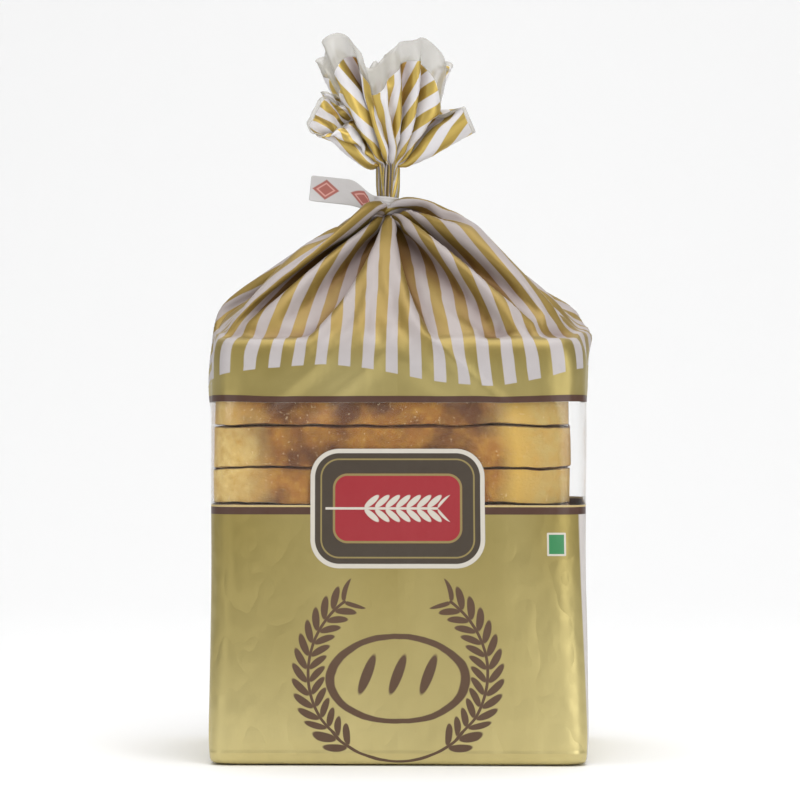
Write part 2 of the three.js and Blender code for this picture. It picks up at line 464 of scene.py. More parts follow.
draw = np.random.default_rng(7)
wobble = draw.uniform(0, 2 * math.pi, 3)
outward = outline / np.linalg.norm(outline, axis=1)[:, None]
for height in (*FOOT_ROWS, *np.linspace(PLAIN_FROM, PINNED_HEIGHT, BODY_ROWS - 2)[:-1]):
    rise = height / PINNED_HEIGHT
    slack = math.sin(math.pi * rise)
    ripple = np.zeros(COLUMNS)
    for (waves, slant, swing), phase in zip(RIPPLES, wobble):
        ripple += swing * slack * np.sin(2 * math.pi * (waves * share + slant * rise) + phase)
    corner = BODY_CORNER + (FOOT_CORNER - BODY_CORNER) * (1 - rise) ** 3
    # Close to the foot the film turns in a little before it folds under the loaf.
    turned_in = FOOT_TURN_IN * max(0, 1 - height / FOOT_TURN_HEIGHT) ** 1.5
    wide = BODY_WIDTH + FOOT_SPREAD * (1 - rise) ** 3 - turned_in
    around_body, _ = rounded_rectangle(share, wide, BODY_DEPTH - turned_in, corner)
    rows.append(np.column_stack([around_body + outward * ripple[:, None], np.full(COLUMNS, height)]))
    film_heights.append(height)
body_rows = np.array(rows)

# Where each column of the film lies once it is gathered: the neck first, and then the mouth.
table = np.array(MOUTH_EDGE, float)
wrapped = np.vstack([table, table[:1] + [1, 0, 0, 0, 0]])
mouth = np.stack([np.interp(share, wrapped[:, 0], wrapped[:, k]) for k in range(1, 5)], 1)
mouth = smooth_round(mouth, 1)
mouth_edge = mouth[:, :3] + [NECK_X, 0, 0]
film_above = smooth_round(mouth[:, 3], 2)
around = 2 * math.pi * share - math.pi / 2

NECK_PLEATS = 18
PLEAT_INNER = 1.8
PLEAT_OUTER = 4.0
PLEAT_UNEVEN = 0.25
NECK_TWIST = math.radians(14)
LAP_RIGHT = math.radians(115)
LAP_LEFT = math.radians(50)
LAP_PLACE = 0.15
LAP_SPREAD = 0.035
LAP_LIFT = 1.4
LAP_LIFT_FALL = 3
WAIST_Z = 176.5
WAIST_PINCH = 0.24
WAIST_HALF_HEIGHT = 3.0
LAP_RIGHT_SPARE = 9.0
LAP_LEFT_SPARE = 5.0
SPARE_SPREAD = 1.6
SLOPE_SLACK = 1.03
SHOULDER_RISE = 9.0
FILM_UNEVEN = 0.12
MOUTH_HOLD = 0.75
HOLD_AT_NECK = 0.4
PLEATS_OPEN_BY = 0.45
MOUTH_CURVE = 1.15
LOW_FLAP_ARCH = 6.0
LOW_FLAP_Z, LOW_FLAP_FADE = 190, 25
pleat = np.abs((share * NECK_PLEATS + PLEAT_UNEVEN * np.sin(6 * math.pi * share + 1)) % 1 - 0.5) * 2


def neck_line(row):
    """The pleated film round the neck, some rows up from where the gather starts."""
    done = row / NECK_ROWS
    height = NECK_Z + done * NECK_FILM
    pinched = 1 - WAIST_PINCH * math.exp(-(((height - WAIST_Z) / WAIST_HALF_HEIGHT) ** 2))
    radius = (PLEAT_INNER + (PLEAT_OUTER - PLEAT_INNER) * pleat) * pinched
    turn = around + NECK_TWIST * done
    # The film over the front corners is drawn across the front film, in a lap on each side.
    for hand, lap in ((1, LAP_RIGHT), (-1, LAP_LEFT)):
        near = np.exp(-((((share * hand) % 1 - LAP_PLACE) / LAP_SPREAD) ** 2)) * (1 - done)
        turn = turn - hand * lap * near
        radius = radius + LAP_LIFT * near * max(0, 1 - LAP_LIFT_FALL * done)
    level = np.full(COLUMNS, height)
    return np.stack([NECK_X + radius * np.cos(turn), radius * np.sin(turn), level], 1)


# The film is cut so that each column reaches from the shoulder to the neck with a little slack.
sideness = (1 - np.cos(2 * around + math.pi)) / 2
shoulder_rise = SHOULDER_RISE * sideness**2
shoulder = np.column_stack([outline, LOAF_TOP + shoulder_rise])
slope_film = shoulder_rise + SLOPE_SLACK * np.linalg.norm(neck_line(0) - shoulder, axis=1)
for hand, spare in ((1, LAP_RIGHT_SPARE), (-1, LAP_LEFT_SPARE)):
    beside_lap = ((share * hand) % 1 - LAP_PLACE) / (SPARE_SPREAD * LAP_SPREAD)
    slope_film += spare * np.exp(-(beside_lap**2))
slope_film = smooth_round(slope_film, 3)

levels = [np.full(COLUMNS, PINNED_HEIGHT)]
for count, film_length in (
    (SIDE_ROWS, np.full(COLUMNS, LOAF_TOP - PINNED_HEIGHT)),
    (SLOPE_ROWS, slope_film),
    (NECK_ROWS, np.full(COLUMNS, NECK_FILM)),
    (MOUTH_ROWS, film_above),
):
    for _ in range(count):
        levels.append(levels[-1] + film_length / count)
levels = np.array(levels)
cloth_rows = len(levels)
neck_first = SIDE_ROWS + SLOPE_ROWS
neck_last = neck_first + NECK_ROWS

straight = np.concatenate([np.broadcast_to(outline, (cloth_rows, COLUMNS, 2)), levels[:, :, None]], 2)
free_rows = cloth_rows - SIDE_ROWS - 1
straight[SIDE_ROWS + 1 :, :, :2] += draw.normal(0, FILM_UNEVEN, (free_rows, COLUMNS, 2))
gathered = straight.copy()
hold = np.zeros((cloth_rows, COLUMNS))
hold[:2] = 1
for row in range(NECK_ROWS + 1):
    gathered[neck_first + row] = neck_line(row)
    hold[neck_first + row] = 1
neck_top = neck_line(NECK_ROWS)
neck_evened = smooth_round(neck_top, passes=30)
drooping = np.clip(1 - (mouth_edge[:, 2] - LOW_FLAP_Z) / LOW_FLAP_FADE, 0, 1)
for row in range(1, MOUTH_ROWS + 1):
    spread = row / MOUTH_ROWS
    # The pleats of the neck open out over the first part of the mouth.
    opened = min(1, spread / PLEATS_OPEN_BY) ** 2
    base = neck_top * (1 - opened) + neck_evened * opened
    point = base + (mouth_edge - base) * spread**MOUTH_CURVE
    point[:, 2] = base[:, 2] + (mouth_edge[:, 2] - base[:, 2]) * spread
    point[:, 2] += LOW_FLAP_ARCH * drooping * math.sin(math.pi * spread)
    gathered[neck_last + row] = point
    hold[neck_last + row] = MOUTH_HOLD * (HOLD_AT_NECK + (1 - HOLD_AT_NECK) * spread)

# The film's own height, for the print: up from the foot, and down from the edge in the mouth.
EDGE_HEIGHT = 275.0
film_v = np.concatenate([np.repeat(np.array(film_heights)[:, None], COLUMNS, 1), levels])
for row in range(1, MOUTH_ROWS + 1):
    film_v[len(body_rows) + neck_last + row] = EDGE_HEIGHT - film_above * (1 - row / MOUTH_ROWS)


def sleeve_mesh(name, points, scale):
    """A tube of quads through rows of points, each row going round."""
    columns = points.shape[1]
    quads = []
    for row in range(len(points) - 1):
        for i in range(columns):
            j = (i + 1) % columns
            low, high = row * columns, (row + 1) * columns
            quads.append((low + i, low + j, high + j, high + i))
    mesh = bpy.data.meshes.new(name)
    mesh.from_pydata((points.reshape(-1, 3) * scale).tolist(), [], quads)
    return mesh


film_mesh = sleeve_mesh("gathered_film", straight, MM * CLOTH_SCALE)
film = bpy.data.objects.new("gathered_film", film_mesh)
bpy.context.collection.objects.link(film)

film.shape_key_add(name="straight")
drawn_in = film.shape_key_add(name="drawn_in")
drawn_in.data.foreach_set("co", (gathered.reshape(-1) * MM * CLOTH_SCALE).astype(np.float32))
drawn_in.value = 0
drawn_in.keyframe_insert("value", frame=1)
drawn_in.value = 1
drawn_in.keyframe_insert("value", frame=GATHER_FRAMES)
for curve in film.data.shape_keys.animation_data.action.fcurves:
    for key in curve.keyframe_points:
        key.interpolation = "SINE"


def vertex_group(piece, name, weights):
    """A named group of a piece's vertices, with a weight for each."""
    group = piece.vertex_groups.new(name=name)
    for vertex in np.nonzero(weights)[0]:
        group.add([int(vertex)], float(weights[vertex]), "REPLACE")


vertex_group(film, "held", hold.reshape(-1))
stiffer = np.zeros((cloth_rows, COLUMNS))
stiffer[neck_last + 2 :] = 1
vertex_group(film, "stiffer", stiffer.reshape(-1))


def bumper(name, rings):
    """A closed solid through rings of points that the film can't pass."""
    count = len(rings[0])
    mesh = sleeve_mesh(name, np.array(rings), MM * CLOTH_SCALE)
    piece = bpy.data.objects.new(name, mesh)
    bpy.context.collection.objects.link(piece)
    bpy.context.view_layer.objects.active = piece
    piece.select_set(True)
    bpy.ops.object.mode_set(mode="EDIT")
    bpy.ops.mesh.select_all(action="SELECT")
    bpy.ops.mesh.fill_holes(sides=count)
    bpy.ops.mesh.normals_make_consistent(inside=False)
    bpy.ops.object.mode_set(mode="OBJECT")
    piece.select_set(False)
    piece.modifiers.new("bumper", "COLLISION")
    piece.collision.thickness_outer = 0.003
    piece.collision.cloth_friction = 8
    return piece


# The loaf's core: the height of each ring, and how far it stands in from the lowest one.
RING_POINTS = 64
CORE_RINGS = ((90, 0), (126, 0), (130, 0.5), (131.6, 1.4), (132.2, 2.8))
CORE_PLAY_X, CORE_PLAY_Y = 2.2, 2.4
CORE_CORNER = 9
ring_share = np.arange(RING_POINTS) / RING_POINTS
core_rings = []
for height, inset in CORE_RINGS:
    core_width = BODY_WIDTH - CORE_PLAY_X - 2 * inset
    core_depth = BODY_DEPTH - CORE_PLAY_Y - 2 * inset
    ring, _ = rounded_rectangle(ring_share, core_width, core_depth, CORE_CORNER)
    core_rings.append(np.column_stack([ring, np.full(RING_POINTS, height)]))
core = bumper("loaf_core", core_rings)

# The trapped air: a low tent from the loaf's top up to just under the neck.
AIR_PLAY_X, AIR_PLAY_Y = 4.2, 12
AIR_CORNER = 14
AIR_FOOT_Z = 130
AIR_TIP_RADIUS = 3
AIR_BELOW_NECK = 6
AIR_CLIMB = 0.93
AIR_RINGS = 12
SLOPE_SWELL = 0.10
air_rings = []
ring, _ = rounded_rectangle(ring_share, BODY_WIDTH - AIR_PLAY_X, BODY_DEPTH - AIR_PLAY_Y, AIR_CORNER)
ring_turn = 2 * math.pi * ring_share - math.pi / 2
tip_x = NECK_X + AIR_TIP_RADIUS * np.cos(ring_turn)
tip = np.stack([tip_x, AIR_TIP_RADIUS * np.sin(ring_turn)], 1)
air_foot = AIR_FOOT_Z + SHOULDER_RISE * ((1 - np.cos(4 * math.pi * ring_share)) / 2) ** 2
for climb in np.linspace(0, AIR_CLIMB, AIR_RINGS):
    swell = climb + SLOPE_SWELL * math.sin(math.pi * climb) * (1 - climb)
    height = air_foot + (NECK_Z - AIR_BELOW_NECK - air_foot) * swell
    air_rings.append(np.column_stack([ring * (1 - climb) + tip * climb, height]))
air = bumper("trapped_air", air_rings)

cloth = film.modifiers.new("gather", "CLOTH")
cloth.settings.quality = 7
cloth.settings.mass = 0.15
cloth.settings.tension_stiffness = 60
cloth.settings.compression_stiffness = 60
cloth.settings.shear_stiffness = 30
cloth.settings.bending_stiffness = 1.0
cloth.settings.vertex_group_bending = "stiffer"
cloth.settings.bending_stiffness_max = 10.0
cloth.settings.tension_damping = 8
cloth.settings.compression_damping = 8
cloth.settings.shear_damping = 8
cloth.settings.bending_damping = 0.5
cloth.settings.air_damping = 3
cloth.settings.vertex_group_mass = "held"
cloth.settings.pin_stiffness = 1
cloth.settings.effector_weights.gravity = 0.05
cloth.collision_settings.collision_quality = 2
cloth.collision_settings.distance_min = 0.004
cloth.collision_settings.use_self_collision = True
cloth.collision_settings.self_distance_min = 0.005
cloth.collision_settings.self_friction = 2
cloth.point_cache.frame_start = 1
cloth.point_cache.frame_end = CLOTH_FRAMES
scene = bpy.context.scene
scene.frame_start = 1
scene.frame_end = CLOTH_FRAMES
for number in range(1, CLOTH_FRAMES + 1):
    scene.frame_set(number)

bpy.ops.object.select_all(action="DESELECT")
film.select_set(True)
bpy.context.view_layer.objects.active = film
bpy.ops.object.convert(target="MESH")
draped = np.array([vertex.co for vertex in film.data.vertices]) / (MM * CLOTH_SCALE)
for helper in (film, core, air):
    bpy.data.objects.remove(helper)

whole = np.concatenate([body_rows, draped.reshape(cloth_rows, COLUMNS, 3)])
film_mesh = sleeve_mesh("bag_film", whole, MM)
film_uv = film_mesh.uv_layers.new(name="film")
for quad in film_mesh.polygons:
    for loop, vertex, ahead in zip(quad.loop_indices, quad.vertices, (0, 1, 1, 0)):
        column = quad.vertices[0] % COLUMNS + ahead
        film_uv.data[loop].uv = (column / COLUMNS * girth, film_v.flat[vertex])
# How deep each point lies in a fold, from 0 on a crest to 1 in a valley, for the painted shade that
# darkens the print in the folds.
FOLD_PASSES = 10
FOLD_START, FOLD_DEPTH = 0.5, 1.7
FOLDS_FROM = LOAF_TOP - 6
evened = whole.copy()
for _ in range(FOLD_PASSES):
    evened = smooth_round(evened.transpose(1, 0, 2), 1).transpose(1, 0, 2)
    evened[1:-1] = (evened[:-2] + 2 * evened[1:-1] + evened[2:]) / 4
across_fold = np.roll(evened, -1, 1) - np.roll(evened, 1, 1)
facing = np.cross(across_fold, np.gradient(evened, axis=0))
facing /= np.linalg.norm(facing, axis=2)[:, :, None] + 1e-9
depth = np.sum((evened - whole) * facing, 2)
fold_values = np.clip((depth - FOLD_START) / FOLD_DEPTH, 0, 1) * (film_v > FOLDS_FROM)
fold_layer = film_mesh.attributes.new("fold_shade", "FLOAT", "POINT")
fold_layer.data.foreach_set("value", fold_values.reshape(-1).astype(np.float32))
film = bpy.data.objects.new("bag_film", film_mesh)
bpy.context.collection.objects.link(film)
film.select_set(True)

FILM_THICKNESS = 0.22
softened = film.modifiers.new("soft folds", "SUBSURF")
softened.levels = softened.render_levels = 1
softened.uv_smooth = "NONE"
walled = film.modifiers.new("film thickness", "SOLIDIFY")
walled.thickness = FILM_THICKNESS * MM
walled.offset = 1
walled.use_even_offset = False
apply_all(film)
bpy.ops.object.shade_smooth()

GOLD = ink(150, 134, 75)
# The pale gold is a painted sheen: the same gold, painted as if more brightly lit.
GOLD_SHEEN = ink(205, 191, 134)
# The gold and white on the slope are painted darker, as painted shade, and in the mouth lighter, as
# painted light.
GOLD_SHADED_ON_SLOPE = ink(142, 118, 56)
GOLD_LIT_IN_MOUTH = ink(192, 166, 88)
STRIPE_WHITE = ink(180, 174, 174)
WHITE_SHADED_ON_SLOPE = ink(164, 154, 151)
WHITE_LIT_IN_MOUTH = ink(218, 215, 217)
PRINT_BROWN = ink(74, 46, 32)
PALE_LINE = ink(190, 168, 112)
CLEAR_FILM = ink(244, 242, 238)
MOUTH_FILM = ink(196, 192, 182)
GOLD_FOLD_SHADE = (0.56, 0.40, 0.30, 1)
WHITE_FOLD_SHADE = (0.66, 0.58, 0.58, 1)
WINDOW_FOOT = 80.4
WINDOW_TOP = 112.9
BROWN_LINE = 2.3
UPPER_BROWN_LINE = 2.0
PALE_LINE_WIDTH = 0.6
STRIPES = 58
STRIPE_PHASE = -1.8
STRIPE_FOOT = 121.7
STRIPE_ARCH, ARCH_LENGTH, ARCH_SHIFT = 3.3, 105, 26
CLEAR_MARGIN, CLEAR_MARGIN_AT_SIDES = 8.0, 1.5
CLEAR_HALF_WIDTH, CLEAR_FADE = 40, 12
# The pale strip down the right side, below the window, is a painted reflection: the side, seen
# edge-on, is painted whitish as if it reflects the white studio light.
PALE_STRIP = (55.9, 62.0)
STRIP_LEAN, STRIP_HINGE = 0.035, 113
STRIP_COLOUR = ink(214, 208, 204)
# The heights on the film where the slope's painted shade and the mouth's painted light start and end,
# and how softly.
SLOPE_SHADE_SPAN = (132, 218, 7)
MOUTH_LIGHT_SPAN = (228, 6)

gold_film = Finish("printed_clear_film")
uv = gold_film.node("ShaderNodeUVMap", {"uv_map": "film"}, {})
u, v, _ = gold_film.parts(uv)
half_girth = girth / 2
across = (u + half_girth / 2) % half_girth - half_girth / 2

stripe_pitch = girth / STRIPES
in_stripe = abs((u - STRIPE_PHASE + stripe_pitch / 2) % stripe_pitch - stripe_pitch / 2).below(
    stripe_pitch / 4, 0.12
)
arch = ((across + ARCH_SHIFT) * (2 * math.pi / ARCH_LENGTH)).cosine()
white = in_stripe * (v - (STRIPE_FOOT + STRIPE_ARCH * arch)).above(0, 0.1)
window = v.between(WINDOW_FOOT, WINDOW_TOP, 0.05)
strip = (across + (v - STRIP_HINGE) * STRIP_LEAN).between(*PALE_STRIP, 0.35)
strip = strip * v.between(0, WINDOW_FOOT, 0.2)
margin = CLEAR_MARGIN_AT_SIDES + CLEAR_MARGIN * abs(across).below(CLEAR_HALF_WIDTH, CLEAR_FADE)
rim = (v + margin).above(EDGE_HEIGHT, 0.15)
clear = window.most(rim)
brown_lines = v.between(WINDOW_FOOT - BROWN_LINE, WINDOW_FOOT, 0.05).most(
    v.between(WINDOW_TOP, WINDOW_TOP + UPPER_BROWN_LINE, 0.05)
)
pale_line = v.between(WINDOW_FOOT, WINDOW_FOOT + PALE_LINE_WIDTH, 0.05)


def length_of(a, b):
    """The length of the long side of a right angle, from its two short ones."""
    return (a * a + b * b).root()


def rounded_box(a, b, half_width, half_height, corner):
    """Distance from the edge of a rounded rectangle, negative inside it."""
    out_a = abs(a) - (half_width - corner)
    out_b = abs(b) - (half_height - corner)
    return length_of(out_a.most(0), out_b.most(0)) + out_a.most(out_b).least(0) - corner


def wheat_ear(along, beside, length, grain):
    """1 on an ear of wheat that starts at 0 along: a stem with slanting pairs of grains."""
    pitch = grain * 0.62
    near = (along - abs(beside) * 0.9) % pitch - pitch / 2
    lean = abs(beside) - grain * 0.42
    grains = length_of(near / (pitch * 0.40), lean / (grain * 0.38)).below(1, 0.08)
    grains = grains * (along - abs(beside) * 0.9).between(0, length, 0.15)
    stem = abs(beside).below(grain * 0.07, 0.05) * along.between(-length * 0.45, length, 0.1)
    return grains.most(stem)


# The plaque over the window's lower edge: a dark rounded panel, a red field and an ear of wheat.
PLAQUE_Z = 80.0
PLAQUE_DARK = ink(62, 52, 40)
PLAQUE_CREAM = ink(200, 194, 182)
PLAQUE_GOLD = ink(138, 122, 74)
PLAQUE_RED = ink(150, 34, 42)
# Half the width, half the height and the corner of the panel and of the field in it.
PLAQUE_SIZE = (27.0, 18.6, 9.0)
PLAQUE_RIM = 1.4
PLAQUE_LINE = (-3.6, -3.1)
FIELD_SIZE = (20.0, 10.8, 4.5)
FIELD_RIM = 0.7
EAR_START, EAR_LENGTH, EAR_GRAIN = -11.5, 24, 5.2
plaque_v = v - PLAQUE_Z
plaque = rounded_box(across, plaque_v, *PLAQUE_SIZE)
plaque_panel = plaque.below(0, 0.08)
plaque_rim = plaque.between(-PLAQUE_RIM, 0, 0.08)
plaque_line = plaque.between(*PLAQUE_LINE, 0.06)
plaque_field = rounded_box(across, plaque_v, *FIELD_SIZE)
plaque_ear = wheat_ear(across - EAR_START, plaque_v, EAR_LENGTH, EAR_GRAIN)

# The motif on the lower half: a plain round loaf with three cuts inside a wreath of wheat.
MOTIF_Z = 29.0
MOTIF_BROWN = ink(86, 62, 42)
ROUND_LOAF_HALF_WIDTH, ROUND_LOAF_HALF_HEIGHT = 21, 13.5
ROUND_LOAF_DROP = 2
ROUND_LOAF_LINE = (12.4, 14.2)
SLASH_PLACES = (-9.5, 0.0, 9.5)
SLASH_HALF_WIDTH, SLASH_HALF_HEIGHT = 1.7, 6.2
SLASH_LEAN, SLASH_DROP = 0.35, 0.5
WREATH_RADIUS, WREATH_START, WREATH_LENGTH, WREATH_GRAIN = 27.5, 14, 54, 6.4
WREATH_RUN = 27
SHAKE_SIZE, SHAKE_REACH = 9, 1.2
motif_v = v - MOTIF_Z
# The lines are drawn with a slightly shaking hand.
shake = gold_film.noise(gold_film.vector(across, v), SHAKE_SIZE, 2) * SHAKE_REACH - SHAKE_REACH / 2
loaf_v = (motif_v + ROUND_LOAF_DROP) / ROUND_LOAF_HALF_HEIGHT
loaf_ring = length_of(across / ROUND_LOAF_HALF_WIDTH, loaf_v) * ROUND_LOAF_HALF_HEIGHT
motif = (loaf_ring + shake * 0.8).between(*ROUND_LOAF_LINE, 0.12)
slash_v = motif_v + SLASH_DROP
for slash_x in SLASH_PLACES:
    leaning = (across - slash_x - slash_v * SLASH_LEAN) / SLASH_HALF_WIDTH
    motif = motif.most(length_of(leaning, slash_v / SLASH_HALF_HEIGHT).below(1, 0.08))
turned = across.math("ARCTAN2", abs(across), -1 * motif_v)
along_wreath = turned * WREATH_RUN - WREATH_START
beside_wreath = length_of(across, motif_v) - WREATH_RADIUS + shake * 0.4
motif = motif.most(wheat_ear(along_wreath, beside_wreath, WREATH_LENGTH, WREATH_GRAIN))

# A small plain green square with a white frame, low on the right of the front.
SQUARE_X, SQUARE_Z = 49.0, 68.9
GREEN = ink(48, 126, 76)
SQUARE_SIZE = (3.0, 3.6, 0.3)
SQUARE_FRAME = 0.6
square = rounded_box(across - SQUARE_X, v - SQUARE_Z, *SQUARE_SIZE)
on_front = u.below(half_girth / 2, 0.1).most(u.above(1.5 * half_girth, 0.1))
white_square = square.below(0, 0.05) * on_front
green_square = square.below(-SQUARE_FRAME, 0.05) * on_front

# Painted light on the gold: it is painted paler towards the foot, as if lit by light off the floor,
# and a little paler in a band just above the window.
# Patches of painted sheen make it uneven across, and painted shade darkens the left of the front.
GLOW_BELOW, GLOW_RUN = 72, 66
UPPER_BAND = (114, 122, 6)
PATCH_WIDTH, PATCH_HEIGHT = 34, 110
SHADED_SIDE = (-14, 24)
SHADED_HEIGHTS = (24, 80, 14)
floor_glow_and_band = ((GLOW_BELOW - v) / GLOW_RUN).most(v.between(*UPPER_BAND) * 0.28).most(0).least(1)
patches = gold_film.vector(u / PATCH_WIDTH, v / PATCH_HEIGHT)
uneven_sheen = gold_film.noise(patches, 1, 1).above(0.52, 0.16)
shaded_left = across.below(*SHADED_SIDE) * v.between(*SHADED_HEIGHTS)
sheen_share = (floor_glow_and_band * 0.72 + uneven_sheen * 0.28) * (1 - 0.45 * shaded_left)
print_colour = gold_film.mix(sheen_share, GOLD, GOLD_SHEEN)
on_slope = v.between(*SLOPE_SHADE_SPAN)
in_mouth = v.above(*MOUTH_LIGHT_SPAN)
# Painted shade on the slope and painted light in the mouth: darker and lighter copies of the same
# inks.
print_colour = gold_film.mix(on_slope, print_colour, GOLD_SHADED_ON_SLOPE)
print_colour = gold_film.mix(in_mouth, print_colour, GOLD_LIT_IN_MOUTH)
print_colour = gold_film.mix(motif, print_colour, MOTIF_BROWN)
stripe_colour = gold_film.mix(on_slope, STRIPE_WHITE, WHITE_SHADED_ON_SLOPE)
stripe_colour = gold_film.mix(in_mouth, stripe_colour, WHITE_LIT_IN_MOUTH)
print_colour = gold_film.mix(white, print_colour, stripe_colour)
# The painted reflection on the bag's right side.
print_colour = gold_film.mix(strip, print_colour, STRIP_COLOUR)
# Painted shade: the print is darkened and browned in the folds' valleys.
fold_shade = gold_film.node("ShaderNodeAttribute", {"attribute_name": "fold_shade"}, {}, "Fac")
tint = gold_film.mix(white, GOLD_FOLD_SHADE, WHITE_FOLD_SHADE)
print_colour = gold_film.mix(fold_shade, print_colour, tint, "MULTIPLY")
print_colour = gold_film.mix(clear, print_colour, CLEAR_FILM)
print_colour = gold_film.mix(rim, print_colour, MOUTH_FILM)
print_colour = gold_film.mix(brown_lines, print_colour, PRINT_BROWN)
print_colour = gold_film.mix(pale_line, print_colour, PALE_LINE)
print_colour = gold_film.mix(plaque_panel, print_colour, PLAQUE_DARK)
print_colour = gold_film.mix(plaque_rim, print_colour, PLAQUE_CREAM)
print_colour = gold_film.mix(plaque_line, print_colour, PLAQUE_GOLD)
print_colour = gold_film.mix(plaque_field.below(0, 0.08), print_colour, PLAQUE_RED)
print_colour = gold_film.mix(plaque_field.between(-FIELD_RIM, 0, 0.06), print_colour, PLAQUE_GOLD)
print_colour = gold_film.mix(plaque_ear, print_colour, PLAQUE_CREAM)
print_colour = gold_film.mix(white_square, print_colour, PLAQUE_CREAM)
print_colour = gold_film.mix(green_square, print_colour, GREEN)

# Where no ink is, the film is clear and glossy, and only the plain gold has a metal's sheen.
inked = brown_lines.most(pale_line).most(plaque_panel).most(white_square)
see_through = clear * (1 - inked)
plain_gold = (1 - white) * (1 - clear) * (1 - motif) * (1 - inked) * (1 - strip)
grazing = gold_film.node("ShaderNodeLayerWeight", {}, {"Blend": 0.35}, "Facing")
opacity = 1 - see_through * (0.975 - 0.5 * grazing**3 - 0.4 * rim) - strip * 0.15
CREASE_WIDTH, CREASE_HEIGHT = 14, 40
RIDGE_WIDTH, RIDGE_HEIGHT = 17, 24
CRINKLE_SIZE, CRINKLE_DEPTH = 5, 0.16
RIDGE_CUT, RIDGE_DEPTH = 0.3, 1.9
HANDLED_SIDES, HANDLED_FOOT, HANDLED_TOP, HANDLED_FADE = 36, 16, 80, 14
FOOT_FOLD = (3.4, 4.4, 0.5)
FOOT_FOLD_DEPTH = 0.25
creased = gold_film.noise(gold_film.vector(u / CREASE_WIDTH, v / CREASE_HEIGHT), 1, 3, 0.55)
crinkle = gold_film.noise(gold_film.vector(u, v), CRINKLE_SIZE, 3, 0.5)
# Sharp creases near the lower corners, where the film was folded and handled.
ridges = gold_film.noise(gold_film.vector(u / RIDGE_WIDTH, v / RIDGE_HEIGHT), 1, 2, 0.45)
ridges = abs(ridges * 2 - 1).least(RIDGE_CUT)
handled = abs(across).above(HANDLED_SIDES, HANDLED_FADE).most(v.below(HANDLED_FOOT, HANDLED_FADE))
handled = handled * v.below(HANDLED_TOP, HANDLED_FADE)
relief = creased + crinkle * CRINKLE_DEPTH + handled * ridges * RIDGE_DEPTH
relief = relief + v.between(*FOOT_FOLD) * FOOT_FOLD_DEPTH
gold_film.set(Base_Color=print_colour, Alpha=opacity)
gold_film.set(Metallic=plain_gold * (0.65 - 0.25 * on_slope) + see_through * (1 - rim) * 0.8)
gold_film.set(Roughness=0.42 - see_through * 0.28 + on_slope * 0.06)
gold_film.set(Normal=gold_film.bump(relief, 1.0, 0.7))
film.data.materials.clear()
film.data.materials.append(gold_film.material)
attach(film, "root")
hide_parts("bag")


# The tape: a strip of white sticky film with small red marks, wound once round the neck, where
# it is bunched. Its ends are stuck to each other on the left and stand out as a flag.
TAPE_WIDTH = 8.4
TAPE_WIDTH_AT_NECK = 5.2
TAPE_DROP_AT_NECK = 2.9
TAPE_RADIUS = 4.1
TAPE_FLAG = 21.4
TAPE_Z = 179.8
TAPE_TILT = math.radians(6)
TAPE_THICKNESS = 0.25
TAPE_ROWS = 11
TAPE_CRIMP = 0.22
CRIMP_END = 0.02
BUNCH_END = 0.4
FLAG_HALF_GAP = 0.32
FLAG_ROOT = 0.8
FLAG_STEP = 0.6
FLAG_POINTS, RING_STEPS = 12, 37
FLAG_CURL, FLAG_LEAN = 0.9, 1.4
MARK_PITCH = 12.5
path = []
root_angle = math.asin(FLAG_HALF_GAP / TAPE_RADIUS)
for along in np.linspace(TAPE_FLAG, FLAG_ROOT, FLAG_POINTS):
    path.append((-TAPE_RADIUS - along, -FLAG_HALF_GAP))
for angle in np.linspace(math.pi + root_angle, 3 * math.pi - root_angle, RING_STEPS):
    path.append((TAPE_RADIUS * math.cos(angle), TAPE_RADIUS * math.sin(angle)))
for along in np.linspace(FLAG_ROOT, TAPE_FLAG - FLAG_STEP, FLAG_POINTS):
    path.append((-TAPE_RADIUS - along, FLAG_HALF_GAP))
path = np.array(path)
walked = np.concatenate([[0], np.cumsum(np.linalg.norm(np.diff(path, axis=0), axis=1))])
points, tape_uv = [], []
for (px, py), strip_run in zip(path, walked):
    flag_run = max(0.0, (-px - TAPE_RADIUS) / TAPE_FLAG)
    curl = FLAG_CURL * flag_run**2
    # Round the neck the strip is bunched: narrower, lower and in small folds along it.
    spread_out = min(1, flag_run / BUNCH_END)
    bunched = 1 - spread_out**2 * (3 - 2 * spread_out)
    width = TAPE_WIDTH + (TAPE_WIDTH_AT_NECK - TAPE_WIDTH) * bunched
    crimp = 0.0 if flag_run > CRIMP_END else TAPE_CRIMP * bunched / math.hypot(px, py)
    for k in range(TAPE_ROWS):
        across_strip = k / (TAPE_ROWS - 1) - 0.5
        bow = curl * (1 - (2 * across_strip) ** 2) - FLAG_LEAN * curl
        grow = 1 + (crimp if k % 2 else -crimp)
        level = across_strip * width - TAPE_DROP_AT_NECK * bunched
        points.append((px * grow, py * grow + bow, level))
        tape_uv.append((strip_run, across_strip * TAPE_WIDTH))
quads = []
for row in range(len(path) - 1):
    for k in range(TAPE_ROWS - 1):
        start = row * TAPE_ROWS + k
        quads.append((start, start + TAPE_ROWS, start + TAPE_ROWS + 1, start + 1))
tape_mesh = bpy.data.meshes.new("neck_tape")
tilt_cos, tilt_sin = math.cos(TAPE_TILT), math.sin(TAPE_TILT)
placed = [
    (
        (NECK_X + px * tilt_cos + pz * tilt_sin) * MM,
        py * MM,
        (TAPE_Z - px * tilt_sin + pz * tilt_cos) * MM,
    )
    for px, py, pz in points
]
tape_mesh.from_pydata(placed, [], quads)
layer = tape_mesh.uv_layers.new(name="strip")
for quad in tape_mesh.polygons:
    for loop, vertex in zip(quad.loop_indices, quad.vertices):
        layer.data[loop].uv = tape_uv[vertex]
tape = bpy.data.objects.new("neck_tape", tape_mesh)
bpy.context.collection.objects.link(tape)
bpy.ops.object.select_all(action="DESELECT")
